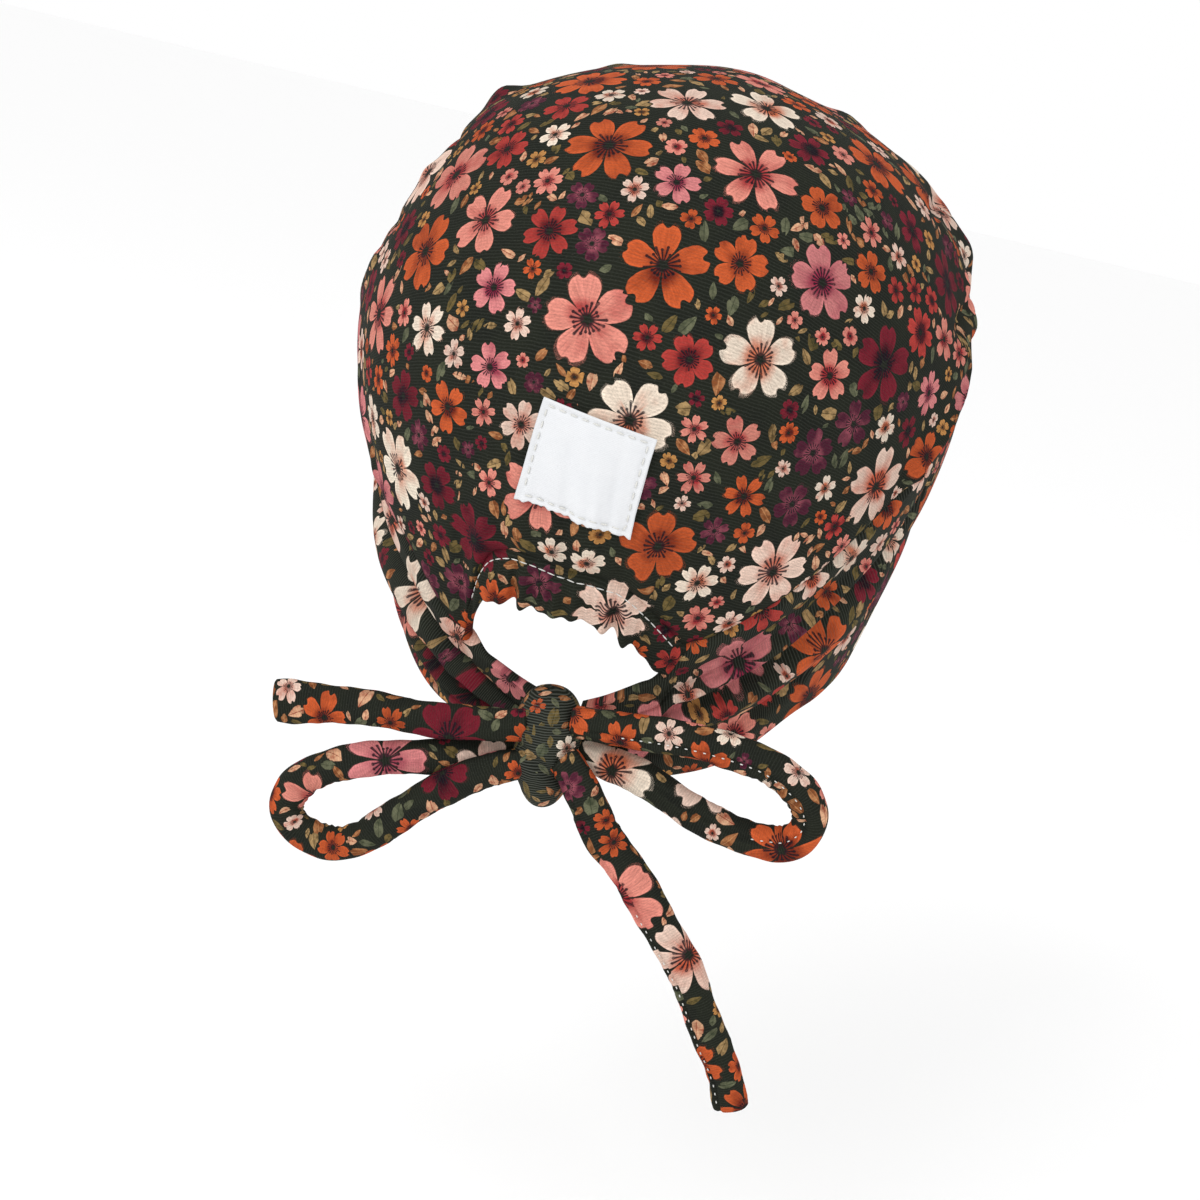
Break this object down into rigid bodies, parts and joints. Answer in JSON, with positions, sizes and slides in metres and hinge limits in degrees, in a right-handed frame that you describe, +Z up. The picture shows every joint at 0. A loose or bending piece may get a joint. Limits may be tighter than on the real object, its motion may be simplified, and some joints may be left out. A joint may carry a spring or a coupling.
{
  "type": "scrub cap",
  "caption": "Soft tie-back cap in printed jersey, gathered crown over a wide brow band, elastic nape and a bow at the back, in its worn form.",
  "frame": {"origin": "inside of the crown's top, where the cap sits on the top of the head", "axes": "+Z up, +Y the way the wearer faces, +X the wearer's right"},
  "size_m": [0.1726, 0.1964, 0.2586],
  "materials": {
    "printed_jersey": "fine ribbed knit with a small floral print, matt",
    "label_satin": "white woven satin, slight sheen"
  },
  "bodies": {
    "root": {"crown": "printed_jersey", "brow_band": "printed_jersey", "nape_casing": "printed_jersey", "label": "label_satin", "knot": "printed_jersey", "right_loop": "printed_jersey", "left_loop": "printed_jersey", "left_tail": "printed_jersey", "right_tail": "printed_jersey"}
  },
  "joints": []
}
